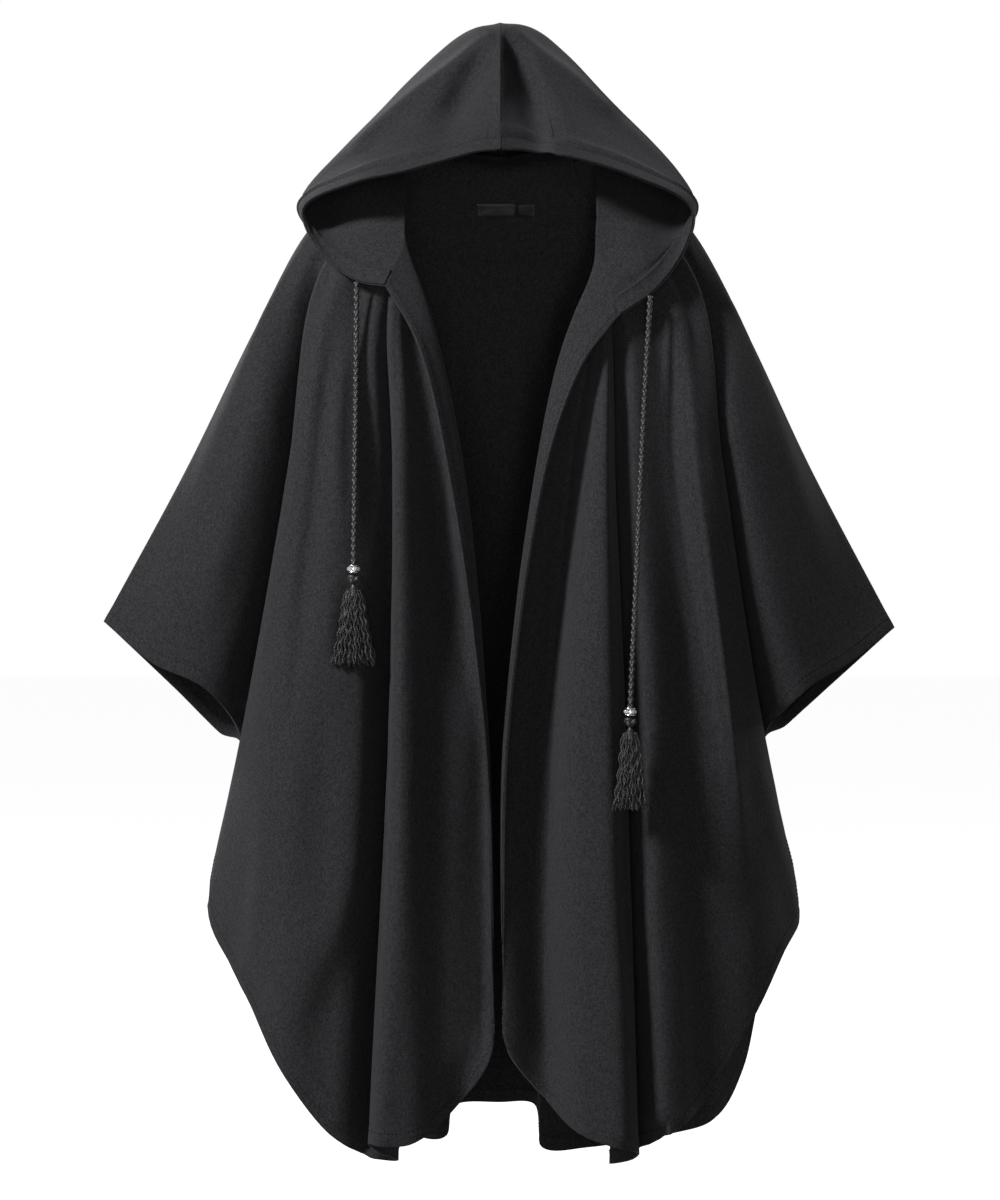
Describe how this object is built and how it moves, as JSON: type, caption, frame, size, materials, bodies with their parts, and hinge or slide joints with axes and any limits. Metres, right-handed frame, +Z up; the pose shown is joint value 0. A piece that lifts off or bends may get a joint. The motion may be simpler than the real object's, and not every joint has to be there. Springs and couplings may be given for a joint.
{
  "type": "hooded poncho",
  "caption": "Long open-front hooded poncho with batwing sleeves, rolled front edges, a dipped hem and a hood drawcord ending in beads and tassels.",
  "frame": {"origin": "middle of the neck at the height of the shoulders that carry the garment", "axes": "+Z up, -Y out of the front opening, +X towards the wearer's left sleeve"},
  "size_m": [0.9089, 0.3496, 1.3228],
  "materials": {
    "wool": "felted wool coating, matt, with a short nap",
    "cord": "braided cord with a slight sheen",
    "thread": "twisted tassel threads",
    "satin": "plain woven satin label",
    "silver": "polished, faceted"
  },
  "bodies": {
    "root": {"front_right": "wool", "front_left": "wool", "back": "wool", "hood_right": "wool", "hood_left": "wool", "casing_right": "wool", "casing_left": "wool", "neck_facing": "wool", "label": "satin", "size_tab": "satin", "drawcord_right": "cord", "drawcord_left": "cord", "knot_right": "cord", "knot_left": "cord", "bead_right": "silver", "bead_left": "silver", "tassel_right": "thread", "tassel_left": "thread"}
  },
  "joints": []
}
